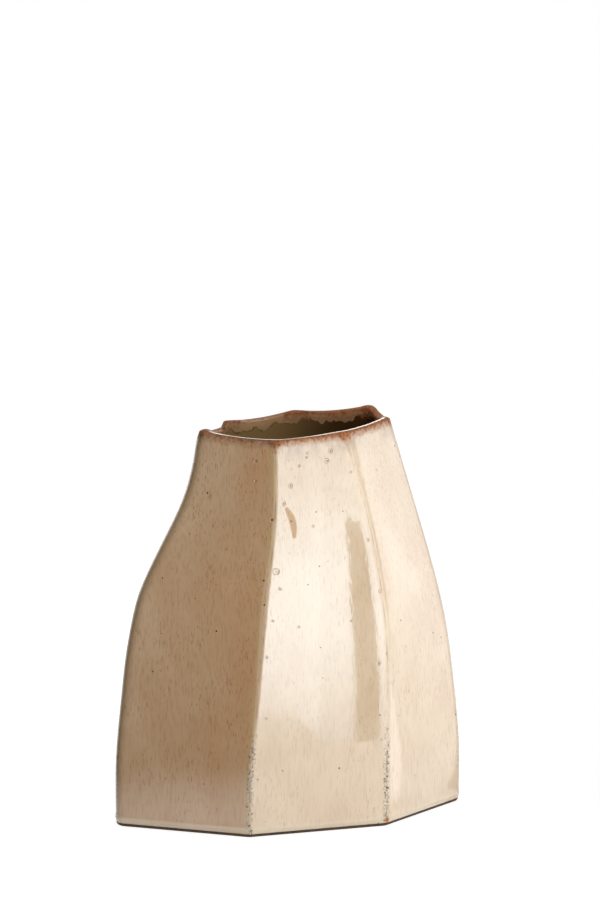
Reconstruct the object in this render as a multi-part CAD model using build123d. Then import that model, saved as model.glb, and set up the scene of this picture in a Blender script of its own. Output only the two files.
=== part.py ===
"""A slab-built stoneware pillow vase: seven wall slabs on a base slab, luted with slip and backed by coils.

Millimetres, +Z up, the long way of the foot along X, the wide front facing -Y, the foot on Z = 0.
"""
from build123d import *
import math
import os

# Overall sizes of the vase.
height = 211.0
foot_length = 188.4
foot_depth = 97.0
mouth_length = 111.6
mouth_depth = 61.2
mouth_shift_right = 8.0
mouth_shift_back = 0.25

# Clay slabs, thinner towards the mouth, where they were pulled up.
base_thickness = 5.0
wall_at_foot = 5.2
wall_at_mouth = 3.6
arris_radius = 6.0
foot_round = 1.6
lip_bevel = 1.1
lip_slope_share = 0.75

# Luting slip in every joint, the shrinkage beside it, and how far it stops short of the rim.
slip_thickness = 0.6
slip_shrinkage = 0.11
slip_recess = 1.2

# Coils of soft clay pressed into the inside corners.
foot_coil_leg = 9.0
foot_coil_top = 1.2
seam_coil_reach = 4.5
seam_coil_stop = 26.0
coil_clearance = 0.3

# The rim dips along each slab, and some slabs end lower than others.
rim_drop = 2.5
rim_sag = 2.4
rim_overrun = 6.0

# Corners in turn, from the left one, counter-clockwise seen from above, and the slab that starts at each.
corner_names = ("left", "front_left", "front_right", "right_front", "right_rear", "rear", "left_rear")
slab_names = ("left_front", "centre_front", "right_front", "right_end", "right_rear", "left_rear", "left_end")

# Places of the corners, as shares of half the foot and of half the mouth.
foot_corner_shares = (
    (-1.0, 0.04),
    (-0.342, -0.841),
    (0.443, -1.0),
    (1.0, -0.48),
    (0.98, 0.69),
    (0.21, 1.0),
    (-0.56, 0.83),
)
mouth_corner_shares = (
    (-1.0, -0.083),
    (-0.359, -0.865),
    (0.297, -0.998),
    (0.94, -0.083),
    (1.0, 0.962),
    (0.17, 1.0),
    (-0.58, 0.626),
)

# How far each corner has spread from its mouth place to its foot place, at each level of the wall.
level_shares = (0.0, 0.14, 0.3, 0.46, 0.6, 0.72, 0.84, 1.0)
spread_shares = (
    (1.015, 1.01, 0.945, 0.855, 0.7, 0.43, 0.175, 0.0),
    (1.0, 0.9355, 0.742, 0.551, 0.375, 0.191, 0.062, 0.0),
    (1.0, 1.041, 1.096, 1.093, 0.959, 0.758, 0.448, 0.0),
    (1.015, 1.01, 0.925, 0.805, 0.63, 0.445, 0.255, 0.0),
    (1.01, 1.01, 0.935, 0.815, 0.65, 0.46, 0.255, 0.0),
    (1.0, 0.99, 0.93, 0.82, 0.65, 0.44, 0.22, 0.0),
    (1.01, 1.0, 0.935, 0.835, 0.675, 0.425, 0.185, 0.0),
)

# The two front corners lean back together, so the slab between them isn't twisted: their spread in depth.
front_corners = ("front_left", "front_right")
front_lean_shares = (1.0, 0.94, 0.856, 0.732, 0.593, 0.45, 0.275, 0.0)

# Drop of the rim at both ends of each slab and sag between them, as shares of the rim drop and of the rim sag.
rim_drop_shares = (
    (0.0, 1.2),
    (1.2, 0.2),
    (0.2, 0.35),
    (0.35, 0.0),
    (0.0, 0.1),
    (0.1, 0.25),
    (1.45, 0.0),
)
rim_sag_shares = (0.35, 0.15, 0.2, 1.1, 0.75, 0.6, 0.5)

count = len(corner_names)
loft_sections = 13
wall_bottom = base_thickness + slip_thickness
foot_coil_height = wall_bottom + foot_coil_leg


def height_at(level):
    """Height of a level of the wall above the ground."""
    return wall_bottom + level * (height - wall_bottom)


def level_at(above_ground):
    """Level of the wall at a height."""
    return (above_ground - wall_bottom) / (height - wall_bottom)


def levels_between(low, high):
    """Evenly spaced levels for the sections of a loft."""
    return [low + (high - low) * step / (loft_sections - 1) for step in range(loft_sections)]


def wall_at(level):
    """Thickness of the wall at a level."""
    return wall_at_foot + level * (wall_at_mouth - wall_at_foot)


def slope_at(spreads, knot):
    """Slope of a row of the spread table at one of its levels, taken across the levels beside it."""
    low = max(knot - 1, 0)
    high = min(knot + 1, len(level_shares) - 1)
    return (spreads[high] - spreads[low]) / (level_shares[high] - level_shares[low])


def spread_at(spreads, level):
    """Spread at any level, on a smooth curve through a row of the table."""
    knot = max(index for index in range(len(level_shares) - 1) if level_shares[index] <= level)
    width = level_shares[knot + 1] - level_shares[knot]
    share = (level - level_shares[knot]) / width
    rise = spreads[knot + 1] - spreads[knot]
    leaving = slope_at(spreads, knot) * width
    arriving = slope_at(spreads, knot + 1) * width
    square = 3 * rise - 2 * leaving - arriving
    cube = leaving + arriving - 2 * rise
    return spreads[knot] + share * (leaving + share * (square + share * cube))


def corners_at(level):
    """Sharp outside corners of the vase at a level, as plan points."""
    points = []
    for name, foot, mouth, spreads in zip(corner_names, foot_corner_shares, mouth_corner_shares, spread_shares):
        low_x = foot[0] * foot_length / 2
        low_y = foot[1] * foot_depth / 2
        high_x = mouth_shift_right + mouth[0] * mouth_length / 2
        high_y = mouth_shift_back + mouth[1] * mouth_depth / 2
        spread = spread_at(spreads, level)
        lean = spread_at(front_lean_shares, level) if name in front_corners else spread
        points.append(Vector(high_x + (low_x - high_x) * spread, high_y + (low_y - high_y) * lean))
    return points


def along(points, side):
    """Unit direction of the side of an outline that starts at a corner."""
    return (points[(side + 1) % count] - points[side]).normalized()


def outward(points, side):
    """Outward normal of the side of an outline that starts at a corner."""
    direction = along(points, side)
    return Vector(direction.Y, -direction.X)


def bisector(points, corner):
    """Outward unit bisector at a corner, and the cosine of half the turn there."""
    middle = (outward(points, corner - 1) + outward(points, corner)).normalized()
    return middle, middle.dot(outward(points, corner))


def half_turn(points, corner):
    """Half the angle by which the outline turns at a corner."""
    return math.acos(bisector(points, corner)[1])


def inset(points, depth):
    """Outline moved inwards by the same depth on every side."""
    moved = []
    for corner in range(count):
        middle, half_turn_cosine = bisector(points, corner)
        moved.append(points[corner] - middle * (depth / half_turn_cosine))
    return moved


def rounded(points, corner, swing):
    """Point on the rounded arris, at an angle from the middle of the arc, positive towards the next corner."""
    middle, half_turn_cosine = bisector(points, corner)
    centre = points[corner] - middle * (arris_radius / half_turn_cosine)
    aside = Vector(-middle.Y, middle.X)
    return centre + (middle * math.cos(swing) + aside * math.sin(swing)) * arris_radius


def outer_swing(half_width):
    """Angle on the rounded arris at which a face parallel to the mitre comes out."""
    return math.asin(half_width / arris_radius)


def inner_joint(points, corner, depth, offset):
    """Inside end of a face parallel to the mitre, offset from it towards the next corner or the one before."""
    direction = along(points, corner) if offset > 0 else along(points, corner - 1)
    return inset(points, depth)[corner] + direction * (offset / bisector(points, corner)[1])


def polygon(points, above_ground):
    """Flat face inside straight sides, at a height."""
    return Pos(0, 0, above_ground) * make_face(Polyline(*points, close=True))


def slab_section(side, level):
    """Section through one wall slab: mitred at both ends, with half an arris round at each."""
    points = corners_at(level)
    end = (side + 1) % count
    half_joint = slip_thickness / 2
    mitre = outer_swing(half_joint)
    start_turn = half_turn(points, side)
    end_turn = half_turn(points, end)
    first = rounded(points, side, mitre)
    first_tangent = rounded(points, side, start_turn)
    last_tangent = rounded(points, end, -end_turn)
    last = rounded(points, end, -mitre)
    inside_last = inner_joint(points, end, wall_at(level), -half_joint)
    inside_first = inner_joint(points, side, wall_at(level), half_joint)
    edges = [
        ThreePointArc(first, rounded(points, side, (mitre + start_turn) / 2), first_tangent),
        Line(first_tangent, last_tangent),
        ThreePointArc(last_tangent, rounded(points, end, -(mitre + end_turn) / 2), last),
        Line(last, inside_last),
        Line(inside_last, inside_first),
        Line(inside_first, first),
    ]
    return Pos(0, 0, height_at(level)) * make_face(Wire(edges))


def slip_section(corner, level):
    """Section through the slip in an upright joint."""
    points = corners_at(level)
    wall = wall_at(level)
    half_slip = slip_thickness / 2 - slip_shrinkage
    ring = [
        rounded(points, corner, -outer_swing(half_slip)),
        rounded(points, corner, outer_swing(half_slip)),
        inner_joint(points, corner, wall, half_slip),
        inset(points, wall)[corner],
        inner_joint(points, corner, wall, -half_slip),
    ]
    return polygon(ring, height_at(level))


def coil_section(corner, level):
    """Three-cornered section of a seam coil, pressed flat across the inside corner."""
    inner = inset(corners_at(level), wall_at(level) + coil_clearance)
    ahead = inner[corner] + along(inner, corner) * seam_coil_reach
    behind = inner[corner] - along(inner, corner - 1) * seam_coil_reach
    return polygon([inner[corner], ahead, behind], height_at(level))


def rim_heights(side):
    """Heights of the rim at the first and at the last corner of one slab."""
    return [height - rim_drop * share for share in rim_drop_shares[side]]


def rim_cutters(side):
    """Blocks over the rim of one slab: a level one along the dipping crest, and one sloping down on each side."""
    end = (side + 1) % count
    low, high = rim_heights(side)
    sag = rim_sag * rim_sag_shares[side]
    points = corners_at(level_at((low + high - sag) / 2))
    span = (points[end] - points[side]).length
    run_on = rim_overrun / span
    lift = 4 * sag * run_on * (1 + run_on)
    left = -rim_overrun
    right = span + rim_overrun
    left_height = low - (high - low) * run_on + lift
    right_height = high + (high - low) * run_on + lift
    top = height + rim_overrun
    edges = [
        ThreePointArc((left, left_height), (span / 2, (low + high) / 2 - sag), (right, right_height)),
        Line((right, right_height), (right, top)),
        Line((right, top), (left, top)),
        Line((left, top), (left, left_height)),
    ]
    facing = outward(points, side)
    half_wall = wall_at_mouth / 2
    middle = Plane(origin=points[side] - facing * half_wall, x_dir=along(points, side), z_dir=facing)
    over = middle * make_face(Wire(edges))
    cutters = [extrude(over, rim_overrun, both=True)]
    for away in (facing, -facing):
        sloping = away - Vector(0, 0, lip_slope_share)
        raised = Pos(0, 0, lip_slope_share * (half_wall - lip_bevel)) * over
        cutters.append(extrude(raised, rim_overrun, dir=sloping))
    return cutters


def foot_outline():
    """Rounded outline of the foot."""
    points = corners_at(level_shares[0])
    edges = []
    for corner in range(count):
        turn = half_turn(points, corner)
        after = (corner + 1) % count
        finish = rounded(points, corner, turn)
        edges.append(ThreePointArc(rounded(points, corner, -turn), rounded(points, corner, 0), finish))
        edges.append(Line(finish, rounded(points, after, -half_turn(points, after))))
    return make_face(Wire(edges))


def base_slab():
    """Floor of the vase, softened round its lower edge."""
    slab = extrude(foot_outline(), base_thickness)
    return fillet(slab.faces().sort_by(Axis.Z)[0].edges(), foot_round)


def foot_slip():
    """Bed of slip under the walls."""
    inside = polygon(inset(corners_at(level_shares[0]), wall_at_foot), 0)
    return Pos(0, 0, base_thickness) * extrude(foot_outline() - inside, slip_thickness)


def foot_coil():
    """Coil pressed into the corner between the base slab and the walls."""
    level = level_at(foot_coil_height)
    low = inset(corners_at(level_shares[0]), wall_at_foot + coil_clearance)
    high = inset(corners_at(level), wall_at(level) + coil_clearance)
    floor = base_thickness + coil_clearance
    full = loft([polygon(low, floor), polygon(high, foot_coil_height)], ruled=True)
    low_inside = polygon(inset(low, foot_coil_leg), floor)
    high_inside = polygon(inset(high, foot_coil_top), foot_coil_height)
    return full - loft([low_inside, high_inside], ruled=True)


def wall_slab(side):
    """One wall slab, cut to the dipping rim with its lip bevelled on both sides."""
    levels = levels_between(level_shares[0], level_shares[-1])
    return loft([slab_section(side, level) for level in levels]) - rim_cutters(side)


def seam_slip(corner):
    """Slip in one upright joint, wiped away just under the lower of the two rims that meet there."""
    levels = levels_between(level_shares[0], level_shares[-1])
    slip = loft([slip_section(corner, level) for level in levels])
    rim = min(rim_heights(corner - 1)[1], rim_heights(corner)[0])
    wiped = Plane.XY.offset(rim - slip_recess)
    return split(slip, bisect_by=wiped, keep=Keep.BOTTOM)


def seam_coil(corner):
    """Coil backing one upright joint, from above the foot coil to some way under the rim."""
    levels = levels_between(level_at(foot_coil_height + coil_clearance), level_at(height - seam_coil_stop))
    return loft([coil_section(corner, level) for level in levels])


nodes = {"base_slab": base_slab(), "foot_slip": foot_slip(), "foot_coil": foot_coil()}
for index in range(count):
    nodes[slab_names[index] + "_slab"] = wall_slab(index)
    nodes[corner_names[index] + "_slip"] = seam_slip(index)
    nodes[corner_names[index] + "_coil"] = seam_coil(index)

# The ground point under the middle of the walls is the origin.
boxes = [nodes[name + "_slab"].bounding_box() for name in slab_names]
middle_x = (min(box.min.X for box in boxes) + max(box.max.X for box in boxes)) / 2
middle_y = (min(box.min.Y for box in boxes) + max(box.max.Y for box in boxes)) / 2

os.makedirs("parts", exist_ok=True)
for name, solid in nodes.items():
    export_step(Pos(-middle_x, -middle_y, 0) * solid, "parts/" + name + ".step")
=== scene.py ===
"""Looks of the slab-built pillow vase: the glaze coat over its clay, the bare clay, and a small studio.

Sizes are millimetres unless a name says otherwise. Meshes, lamps and the camera are in metres, in the frame of
the solids: +Z up, the long way of the foot along X, the wide front facing -Y.
"""

import logging
import math
from dataclasses import dataclass
from enum import Enum
from functools import cached_property

import bmesh
import bpy
import numpy as np
from mathutils import Matrix, Quaternion, Vector, noise
from mathutils.bvhtree import BVHTree


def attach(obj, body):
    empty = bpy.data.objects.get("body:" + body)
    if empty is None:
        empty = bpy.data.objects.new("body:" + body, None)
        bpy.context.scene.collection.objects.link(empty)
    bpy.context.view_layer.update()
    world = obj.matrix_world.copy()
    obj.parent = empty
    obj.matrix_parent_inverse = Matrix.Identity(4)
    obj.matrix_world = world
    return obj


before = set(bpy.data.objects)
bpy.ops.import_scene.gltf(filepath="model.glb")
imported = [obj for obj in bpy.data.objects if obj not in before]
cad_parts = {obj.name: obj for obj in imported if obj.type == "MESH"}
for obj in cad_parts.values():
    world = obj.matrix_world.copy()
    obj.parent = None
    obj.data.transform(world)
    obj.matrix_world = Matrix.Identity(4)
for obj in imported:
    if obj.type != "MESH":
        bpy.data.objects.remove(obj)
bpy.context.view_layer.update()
log = logging.getLogger("pillow_vase")

MM = 0.001
BODY = "root"
WHITE = (1.0, 1.0, 1.0, 1.0)
COOL_WHITE = "#EAF5FF"
WARM_WHITE = "#FFF1DF"


def linear(hex_colour: str) -> tuple[float, float, float, float]:
    """Turns an sRGB hex colour into the linear colour that a shader takes.

    Args:
        hex_colour: The colour as "#RRGGBB".

    Returns:
        Linear red, green, blue and a full alpha.
    """
    parts = [int(hex_colour[place:place + 2], 16) / 255 for place in (1, 3, 5)]
    return tuple(p / 12.92 if p <= 0.04045 else ((p + 0.055) / 1.055) ** 2.4 for p in parts) + (1.0,)


def add_node(tree: bpy.types.NodeTree, kind: str, inputs: dict | None = None, take: str | None = None,
             **settings: object) -> bpy.types.NodeSocket | None:
    """Adds one shader node with its settings and links.

    Args:
        tree: The node tree that gets the node.
        kind: Blender's name for the node, without the ShaderNode before it.
        inputs: Socket name or number, with the value it is set to or the socket it is linked from.
        take: Name of the output to hand back, the first one in use if none is named.
        settings: Properties of the node.

    Returns:
        The output socket, ready to be linked on, or None for a node without one.
    """
    node = tree.nodes.new("ShaderNode" + kind)
    for name, value in settings.items():
        setattr(node, name, value)
    for name, value in (inputs or {}).items():
        if isinstance(value, bpy.types.NodeSocket):
            tree.links.new(value, node.inputs[name])
        else:
            node.inputs[name].default_value = value
    if take:
        return node.outputs[take]
    return next((socket for socket in node.outputs if socket.enabled), None)


def new_material(name: str) -> tuple[bpy.types.Material, bpy.types.NodeTree]:
    """Makes an empty node material.

    Args:
        name: Name of the material.

    Returns:
        The material and its cleared node tree.
    """
    material = bpy.data.materials.new(name)
    material.use_nodes = True
    material.node_tree.nodes.clear()
    return material, material.node_tree


def clay_surface() -> BVHTree:
    """Takes the outsides of all the clay pieces together.

    Returns:
        One surface to measure against, in metres.
    """
    corners, faces = [], []
    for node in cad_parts.values():
        start = len(corners)
        corners += [node.matrix_world @ vert.co for vert in node.data.vertices]
        faces += [[start + index for index in face.vertices] for face in node.data.polygons]
    return BVHTree.FromPolygons(corners, faces)


@dataclass(frozen=True)
class SlabForm:
    """The clay form under the glaze, from the driving sizes of the solids."""

    height: float = 211.0
    foot_size: tuple = (188.4, 97.0)
    mouth_size: tuple = (111.6, 61.2)
    mouth_shift: tuple = (8.0, 0.25)
    base_thickness: float = 5.0
    slip_thickness: float = 0.6
    wall_at_foot: float = 5.2
    wall_at_mouth: float = 3.6
    arris_radius: float = 6.0
    rim_drop: float = 2.5
    rim_sag: float = 2.4
    loft_sections: int = 13
    foot_corner_shares: tuple = (
        (-1.0, 0.04), (-0.342, -0.841), (0.443, -1.0), (1.0, -0.48), (0.98, 0.69), (0.21, 1.0), (-0.56, 0.83),
    )
    mouth_corner_shares: tuple = (
        (-1.0, -0.083), (-0.359, -0.865), (0.297, -0.998), (0.94, -0.083), (1.0, 0.962), (0.17, 1.0), (-0.58, 0.626),
    )
    level_shares: tuple = (0.0, 0.14, 0.3, 0.46, 0.6, 0.72, 0.84, 1.0)
    spread_shares: tuple = (
        (1.015, 1.01, 0.945, 0.855, 0.7, 0.43, 0.175, 0.0),
        (1.0, 0.9355, 0.742, 0.551, 0.375, 0.191, 0.062, 0.0),
        (1.0, 1.041, 1.096, 1.093, 0.959, 0.758, 0.448, 0.0),
        (1.015, 1.01, 0.925, 0.805, 0.63, 0.445, 0.255, 0.0),
        (1.01, 1.01, 0.935, 0.815, 0.65, 0.46, 0.255, 0.0),
        (1.0, 0.99, 0.93, 0.82, 0.65, 0.44, 0.22, 0.0),
        (1.01, 1.0, 0.935, 0.835, 0.675, 0.425, 0.185, 0.0),
    )
    front_corners: tuple = (1, 2)
    front_lean_shares: tuple = (1.0, 0.94, 0.856, 0.732, 0.593, 0.45, 0.275, 0.0)
    rim_drop_shares: tuple = (
        (0.0, 1.2), (1.2, 0.2), (0.2, 0.35), (0.35, 0.0), (0.0, 0.1), (0.1, 0.25), (1.45, 0.0),
    )
    rim_sag_shares: tuple = (0.35, 0.15, 0.2, 1.1, 0.75, 0.6, 0.5)

    @property
    def count(self) -> int:
        """Number of corners, and of slabs."""
        return len(self.foot_corner_shares)

    @property
    def wall_bottom(self) -> float:
        """Height at which the wall slabs start."""
        return self.base_thickness + self.slip_thickness

    def level_at(self, above_ground: np.ndarray) -> np.ndarray:
        """Level of the wall, 0 at its bottom and 1 at its top, at a height."""
        return np.clip((above_ground - self.wall_bottom) / (self.height - self.wall_bottom), 0.0, 1.0)

    def wall_at(self, level: np.ndarray) -> np.ndarray:
        """Thickness of the wall at a level."""
        return self.wall_at_foot + level * (self.wall_at_mouth - self.wall_at_foot)

    @cached_property
    def section_spreads(self) -> np.ndarray:
        """Spread along X and along Y of each corner, at the even sections that the slabs were drawn through."""
        knots = np.array(self.level_shares)
        rows = np.repeat(np.array(self.spread_shares)[..., None], 2, axis=-1)
        rows[list(self.front_corners), :, 1] = self.front_lean_shares
        low = np.maximum(np.arange(len(knots)) - 1, 0)
        high = np.minimum(np.arange(len(knots)) + 1, len(knots) - 1)
        slopes = (rows[:, high] - rows[:, low]) / (knots[high] - knots[low])[:, None]
        levels = np.linspace(0.0, 1.0, self.loft_sections)
        knot = np.clip(np.searchsorted(knots, levels, side="right") - 1, 0, len(knots) - 2)
        width = (knots[knot + 1] - knots[knot])[:, None]
        share = (levels - knots[knot])[:, None] / width
        rise = rows[:, knot + 1] - rows[:, knot]
        leaving = slopes[:, knot] * width
        arriving = slopes[:, knot + 1] * width
        square = 3 * rise - 2 * leaving - arriving
        cube = leaving + arriving - 2 * rise
        spreads = rows[:, knot] + share * (leaving + share * (square + share * cube))
        return spreads.transpose(1, 0, 2)

    @cached_property
    def section_bends(self) -> np.ndarray:
        """Bend of each corner's line at those sections, which makes the line through them smooth."""
        size = self.loft_sections
        spreads = self.section_spreads
        system = np.eye(size)
        bends = np.zeros_like(spreads)
        system[0, :3] = (1.0, -2.0, 1.0)
        system[-1, -3:] = (1.0, -2.0, 1.0)
        for row in range(1, size - 1):
            system[row, row - 1:row + 2] = (1.0, 4.0, 1.0)
            bends[row] = 6 * (spreads[row - 1] - 2 * spreads[row] + spreads[row + 1])
        return np.linalg.solve(system, bends.reshape(size, -1)).reshape(spreads.shape)

    @cached_property
    def corner_ends(self) -> tuple[np.ndarray, np.ndarray]:
        """Places of the corners at the foot and at the mouth, before the form is centred."""
        foot = np.array(self.foot_corner_shares) * np.array(self.foot_size) / 2
        mouth = np.array(self.mouth_corner_shares) * np.array(self.mouth_size) / 2 + np.array(self.mouth_shift)
        return foot, mouth

    def sharp_corners(self, level: np.ndarray) -> np.ndarray:
        """Sharp outside corners at some levels, before the form is centred.

        Args:
            level: Levels of the wall, in an array of any shape.

        Returns:
            Plan points, with a corner axis and a coordinate axis added to that shape.
        """
        step = 1.0 / (self.loft_sections - 1)
        index = np.clip((level / step).astype(int), 0, self.loft_sections - 2)
        after = (level / step - index)[..., None, None]
        before = 1.0 - after
        spreads, bends = self.section_spreads, self.section_bends
        spread = before * spreads[index] + after * spreads[index + 1]
        spread = spread + ((before ** 3 - before) * bends[index] + (after ** 3 - after) * bends[index + 1]) / 6
        foot, mouth = self.corner_ends
        return mouth + (foot - mouth) * spread

    def rim_between(self, side: np.ndarray, share: np.ndarray) -> np.ndarray:
        """Height of the clay rim.

        Args:
            side: Number of the slab.
            share: Way along that slab, from 0 at its first corner to 1 at its last.

        Returns:
            Heights above the ground.
        """
        ends = self.height - self.rim_drop * np.array(self.rim_drop_shares)
        low, high = ends[side, 0], ends[side, 1]
        sag = self.rim_sag * np.array(self.rim_sag_shares)[side]
        return low + (high - low) * share - 4 * sag * share * (1 - share)


@dataclass
class GlazeCoat:
    """The glaze: a thin glass skin over the walls, over the lip and down the inside, that stops above the foot."""

    form: SlabForm
    arc_steps: int = 8
    side_steps: int = 28
    thickness: float = 0.38
    arris_thinning: float = 0.14
    arris_thin_width: float = 4.0
    clay_clearance: float = 0.16
    clay_reach: float = 4.0
    clay_skim: float = 0.02
    panel_crown: float = 0.5
    crown_easing: tuple = (1, 2, 3, 2, 1)
    shell: float = 0.2
    weld: float = 0.001
    middle_samples: int = 101
    foot_edge: float = 2.0
    roll_height: float = 4.4
    roll_width: float = 2.0
    roll_swell: float = 0.32
    undulation: float = 0.05
    undulation_length: float = 70.0
    foot_ring_heights: tuple = (2.0, 2.15, 2.4, 2.8, 3.3, 4.0, 4.8, 5.6, 6.5, 7.6, 9.0, 11.0, 13.5, 16.5)
    wall_rings: int = 84
    lip_rings: int = 12
    lip_height: float = 1.2
    inside_rings: int = 48
    inside_corner: float = 11.5
    inside_corner_at_lip: float = 6.0
    inside_corner_rise: float = 26.0
    heel_radius: float = 19.0
    heel_rings: int = 9
    floor_rings: int = 6
    rim_smoothing: int = 1
    step_cover: float = 0.5
    # Slabs and start of the painted highlight along the lip.
    lip_highlight_sides: tuple = (0, 1, 2)
    lip_highlight_start: float = 0.09
    # Pour per slab, low on the left slab, where it also paints that slab's shade.
    pour_and_shade_shares: tuple = ((0.36, 0.0), (1.0, 1.0), (0.9, 0.8), (0.7, 0.6), (0.6, 0.5), (0.5, 0.4), (0.3, 0.4))
    clay: BVHTree | None = None
    surface: BVHTree | None = None

    @cached_property
    def columns(self) -> tuple[np.ndarray, np.ndarray, np.ndarray]:
        """Columns of the skin: the corner or slab, whether on a side, and the way along the arc or side."""
        place, on_side, way = [], [], []
        for corner in range(self.form.count):
            for step in range(self.arc_steps + 1):
                place.append(corner)
                on_side.append(False)
                way.append(2.0 * step / self.arc_steps - 1.0)
            for step in range(1, self.side_steps):
                place.append(corner)
                on_side.append(True)
                way.append(step / self.side_steps)
        return np.array(place), np.array(on_side), np.array(way)

    def outline(self, level: np.ndarray, offset: np.ndarray, tangent: np.ndarray | None = None) -> np.ndarray:
        """Rounded outline of the form, moved outwards or inwards.

        Args:
            level: Level of the wall at each ring and column.
            offset: How far each point lies outside the clay's outer face.
            tangent: Length of side taken up by each rounded corner, the arris radius decides it if not given.

        Returns:
            Plan points by ring and column, before the form is centred.
        """
        place, on_side, way = self.columns
        column = np.arange(len(place))
        corners = self.form.sharp_corners(level)
        along = np.roll(corners, -1, axis=-2) - corners
        along /= np.linalg.norm(along, axis=-1, keepdims=True)
        out = np.stack([along[..., 1], -along[..., 0]], axis=-1)
        middle = out + np.roll(out, 1, axis=-2)
        middle /= np.linalg.norm(middle, axis=-1, keepdims=True)
        cosine = np.sum(middle * out, axis=-1)
        turn = np.arccos(np.clip(cosine, -1.0, 1.0))
        aside = np.stack([-middle[..., 1], middle[..., 0]], axis=-1)
        if tangent is None:
            radius = np.broadcast_to((self.form.arris_radius + offset)[..., None], turn.shape)
        else:
            radius = tangent[..., None] / np.tan(turn)
        centre = corners + middle * ((offset[..., None] - radius) / cosine)[..., None]

        def on_arc(corner: np.ndarray, share: np.ndarray) -> np.ndarray:
            """Points on the rounded corners, at a share of half the turn from the middle of the arc."""
            pick = (slice(None), column, corner)
            swing = (turn[pick] * share)[..., None]
            spoke = middle[pick] * np.cos(swing) + aside[pick] * np.sin(swing)
            return centre[pick] + spoke * radius[pick][..., None]

        first = on_arc(place, np.where(on_side, 1.0, way))
        last = on_arc((place + 1) % self.form.count, np.full(len(place), -1.0))
        run = np.where(on_side, way, 0.0)[:, None]
        return first + (last - first) * run

    @cached_property
    def along_side(self) -> tuple[np.ndarray, np.ndarray]:
        """The slab that each column lies on at the mouth, and the way along it."""
        place, on_side, way = self.columns
        corners = self.form.sharp_corners(np.array(1.0))
        plan = self.outline(np.ones((1, len(place))), np.zeros((1, len(place))))[0]
        side = np.where(~on_side & (way < 0), (place - 1) % self.form.count, place)
        start, end = corners[side], corners[(side + 1) % self.form.count]
        span = end - start
        share = np.sum((plan - start) * span, axis=-1) / np.sum(span * span, axis=-1)
        return side, np.clip(share, 0.0, 1.0)

    @cached_property
    def rim(self) -> np.ndarray:
        """Height of the clay rim at each column, softened where a slab ends lower than its neighbour."""
        place, on_side, way = self.columns
        rim = self.form.rim_between(*self.along_side)
        before = self.form.rim_between((place - 1) % self.form.count, np.ones(len(place)))
        after = self.form.rim_between(place, np.zeros(len(place)))
        on_arris = ~on_side & (np.abs(way) <= self.step_cover)
        rim = np.where(on_arris, np.maximum(rim, np.maximum(before, after)), rim)
        reach = range(-self.rim_smoothing, self.rim_smoothing + 1)
        return np.mean([np.roll(rim, step) for step in reach], axis=0)

    @cached_property
    def middle(self) -> np.ndarray:
        """Plan middle of the walls, which the solids have at the origin."""
        place = self.columns[0]
        level = np.repeat(np.linspace(0.0, 1.0, self.middle_samples)[:, None], len(place), axis=1)
        plan = self.outline(level, np.zeros_like(level)).reshape(-1, 2)
        return (plan.min(axis=0) + plan.max(axis=0)) / 2

    @cached_property
    def arris_gap(self) -> np.ndarray:
        """Distance of each column from the nearest arris: a row for the foot and a row for the mouth."""
        place, on_side, way = self.columns
        gaps = []
        for level in (0.0, 1.0):
            plan = self.outline(np.full((1, len(place)), level), np.zeros((1, len(place))))[0]
            step = np.linalg.norm(np.roll(plan, -1, axis=0) - plan, axis=-1)
            run = np.concatenate([[0.0], np.cumsum(step)])
            crests = run[:-1][~on_side & np.isclose(way, 0.0)]
            around = np.concatenate([crests - run[-1], crests, crests + run[-1]])
            apart = run[:-1][:, None] - around
            gaps.append(apart[np.arange(len(place)), np.argmin(np.abs(apart), axis=1)])
        return np.array(gaps)

    @cached_property
    def crown(self) -> np.ndarray:
        """Extra glaze at each column, thickest along the middle of each slab, eased into the arrises."""
        _, on_side, way = self.columns
        run = np.where(on_side, way, 0.0)
        crown = 4 * self.panel_crown * run * (1 - run)
        reach = len(self.crown_easing) // 2
        eased = sum(weight * np.roll(crown, step - reach) for step, weight in enumerate(self.crown_easing))
        return eased / sum(self.crown_easing)

    @cached_property
    def pour_and_shade(self) -> np.ndarray:
        """How thickly the glaze lies at each column, poured on from the front and thin on the left, which also paints
        shade there.
        """
        place, on_side, way = self.columns
        start, end = np.array(self.pour_and_shade_shares).T
        turn = np.clip((way + 1) / 2, 0.0, 1.0)
        across = end[(place - 1) % self.form.count] * (1 - turn) + start[place] * turn
        return np.where(on_side, start[place] * (1 - way) + end[place] * way, across)

    @cached_property
    def lip_highlight_mask(self) -> np.ndarray:
        """Where a highlight is painted along the lip, per column: on the front slabs, from a little way along."""
        side, share = self.along_side
        late = np.clip(share / self.lip_highlight_start - 1, 0.0, 1.0)
        return np.isin(side, self.lip_highlight_sides) * np.where(side == self.lip_highlight_sides[0], late, 1.0)

    def outer_rings(self) -> tuple[np.ndarray, np.ndarray]:
        """Outside of the skin, from the edge above the foot to the start of the lip.

        Returns:
            Points by ring and column, and the distance below the rim's crest.
        """
        foot = np.repeat(np.array(self.foot_ring_heights)[:, None], len(self.rim), axis=1)
        start = self.foot_ring_heights[-1]
        share = np.linspace(0.0, 1.0, self.wall_rings + 1)[1:, None]
        top = self.rim + self.thickness - self.lip_height
        heights = np.concatenate([foot, start + (top - start) * share])
        level = self.form.level_at(heights)
        gap = self.arris_gap[0] + level * (self.arris_gap[1] - self.arris_gap[0])
        thin = self.arris_thinning * np.exp(-(gap / self.arris_thin_width) ** 2)
        roll = self.roll_swell * np.exp(-((heights - self.roll_height) / self.roll_width) ** 2)
        edge = np.clip((heights - self.foot_edge) / self.roll_width, 0.0, 1.0)
        offset = (self.thickness - thin + self.crown + roll) * np.sqrt(edge) + self.clay_skim
        plan = self.outline(level, offset)
        points = np.concatenate([plan - self.middle, heights[..., None]], axis=-1)
        points = self.cleared(self.undulated(points, edge))
        return points, self.lip_quarter + top - heights

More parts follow.
